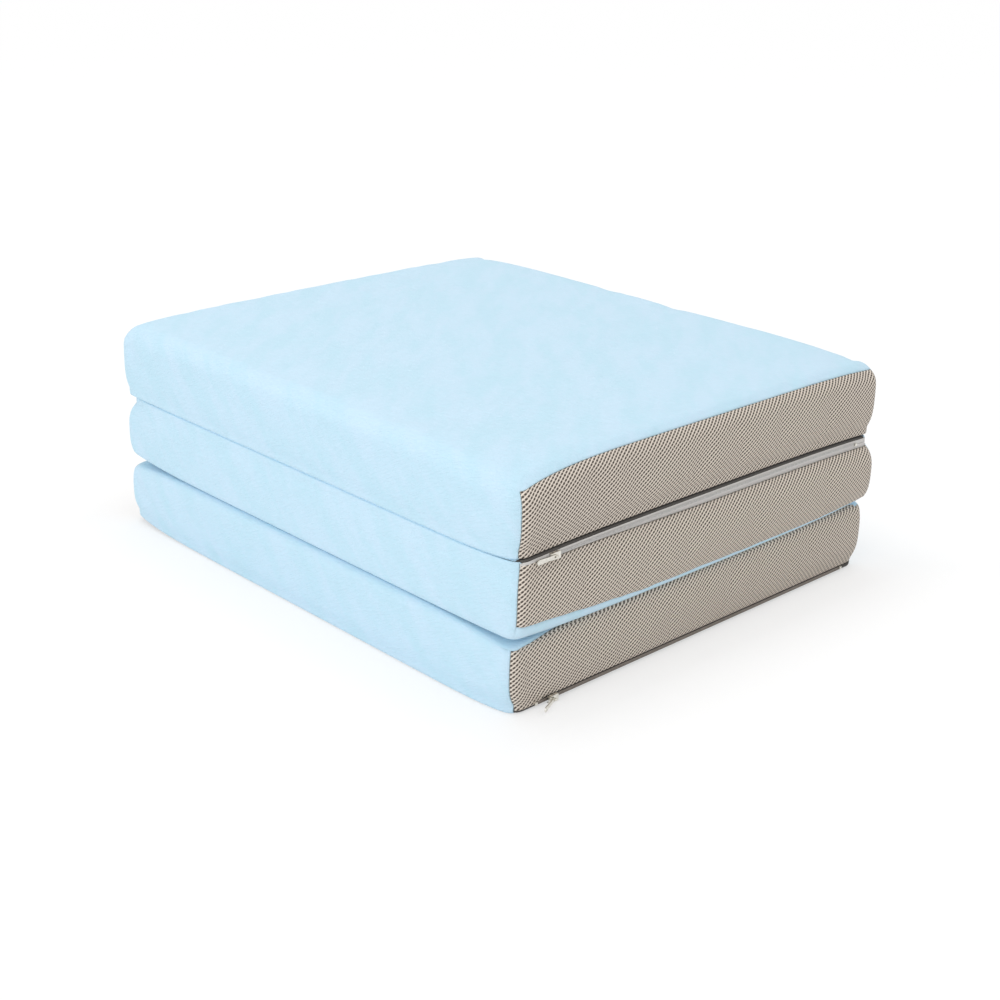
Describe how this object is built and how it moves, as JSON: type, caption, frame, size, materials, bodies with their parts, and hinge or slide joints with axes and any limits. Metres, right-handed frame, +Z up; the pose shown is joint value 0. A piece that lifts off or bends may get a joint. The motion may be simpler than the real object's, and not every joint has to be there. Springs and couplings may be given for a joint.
{
  "type": "folding mattress",
  "caption": "Folding foam guest mattress in zipped fabric covers, its panels joined by fabric hinges and stacked on each other.",
  "frame": {"origin": "middle of the flat base that the folded stack rests on", "axes": "+Z up, X along the panels' length, the way the mattress unfolds, Y across the mattress's width"},
  "size_m": [0.6586, 0.7766, 0.2841],
  "materials": {
    "blue_knit": "pale sky-blue brushed knit",
    "air_mesh": "taupe open spacer mesh",
    "base_fabric": "plain charcoal woven underside",
    "support_foam": "off-white polyurethane foam",
    "comfort_foam": "pale yellow memory foam",
    "zip_tape": "light grey woven zip tape",
    "zip_teeth": "light grey moulded teeth",
    "zip_metal": "pale nickel-plated zinc"
  },
  "bodies": {
    "bottom_panel": {"bottom_support_foam": "support_foam", "bottom_comfort_foam": "comfort_foam", "bottom_sleeping_cover": "blue_knit", "bottom_mesh_wall": "air_mesh", "bottom_zipped_mesh_wall": "air_mesh", "bottom_base_sheet": "base_fabric", "bottom_zip_tape_wall_side": "zip_tape", "bottom_zip_tape_base_side": "zip_tape", "bottom_zip_teeth_wall_side": "zip_teeth", "bottom_zip_teeth_base_side": "zip_teeth", "bottom_zip_stop_closed": "zip_metal", "bottom_zip_stop_open": "zip_metal", "bottom_fold_leaf": "blue_knit"},
    "bottom_zip_slider": {"bottom_zip_slider": "zip_metal"},
    "bottom_zip_pull": {"bottom_zip_pull": "zip_metal"},
    "middle_panel": {"middle_support_foam": "support_foam", "middle_comfort_foam": "comfort_foam", "middle_sleeping_cover": "blue_knit", "middle_mesh_wall": "air_mesh", "middle_zipped_mesh_wall": "air_mesh", "middle_base_sheet": "base_fabric", "middle_zip_tape_wall_side": "zip_tape", "middle_zip_tape_base_side": "zip_tape", "middle_zip_teeth_wall_side": "zip_teeth", "middle_zip_teeth_base_side": "zip_teeth", "middle_zip_stop_closed": "zip_metal", "middle_zip_stop_open": "zip_metal", "middle_lower_fold_leaf": "blue_knit", "middle_upper_fold_leaf": "blue_knit"},
    "middle_zip_slider": {"middle_zip_slider": "zip_metal"},
    "middle_zip_pull": {"middle_zip_pull": "zip_metal"},
    "top_panel": {"top_support_foam": "support_foam", "top_comfort_foam": "comfort_foam", "top_sleeping_cover": "blue_knit", "top_mesh_wall": "air_mesh", "top_zipped_mesh_wall": "air_mesh", "top_base_sheet": "base_fabric", "top_zip_tape_wall_side": "zip_tape", "top_zip_tape_base_side": "zip_tape", "top_zip_teeth_wall_side": "zip_teeth", "top_zip_teeth_base_side": "zip_teeth", "top_zip_stop_closed": "zip_metal", "top_zip_stop_open": "zip_metal", "top_fold_leaf": "blue_knit"},
    "top_zip_slider": {"top_zip_slider": "zip_metal"},
    "top_zip_pull": {"top_zip_pull": "zip_metal"}
  },
  "joints": [
    {"name": "middle_fold", "type": "hinge", "parent": "bottom_panel", "child": "middle_panel", "pos_m": [0.3295, 0, 0.0911], "axis": [0, 1, 0], "range_deg": [0, 180]},
    {"name": "top_fold", "type": "hinge", "parent": "middle_panel", "child": "top_panel", "pos_m": [-0.3295, 0, 0.1825], "axis": [0, -1, 0], "range_deg": [0, 180]},
    {"name": "bottom_zip_travel", "type": "slide", "parent": "bottom_panel", "child": "bottom_zip_slider", "axis": [1, 0, 0], "range_m": [0, 0.5]},
    {"name": "bottom_pull_swing", "type": "hinge", "parent": "bottom_zip_slider", "child": "bottom_zip_pull", "pos_m": [-0.259, -0.38045, 0.005], "axis": [0, 0, 1], "range_deg": [-24, 156]},
    {"name": "middle_zip_travel", "type": "slide", "parent": "middle_panel", "child": "middle_zip_slider", "axis": [1, 0, 0], "range_m": [0, 0.5]},
    {"name": "middle_pull_swing", "type": "hinge", "parent": "middle_zip_slider", "child": "middle_zip_pull", "pos_m": [-0.264, -0.38045, 0.1772], "axis": [0, 0, 1], "range_deg": [0, 180]},
    {"name": "top_zip_travel", "type": "slide", "parent": "top_panel", "child": "top_zip_slider", "axis": [-1, 0, 0], "range_m": [0, 0.5]},
    {"name": "top_pull_swing", "type": "hinge", "parent": "top_zip_slider", "child": "top_zip_pull", "pos_m": [0.263, 0.38045, 0.1878], "axis": [0, 0, 1], "range_deg": [0, 180]}
  ]
}
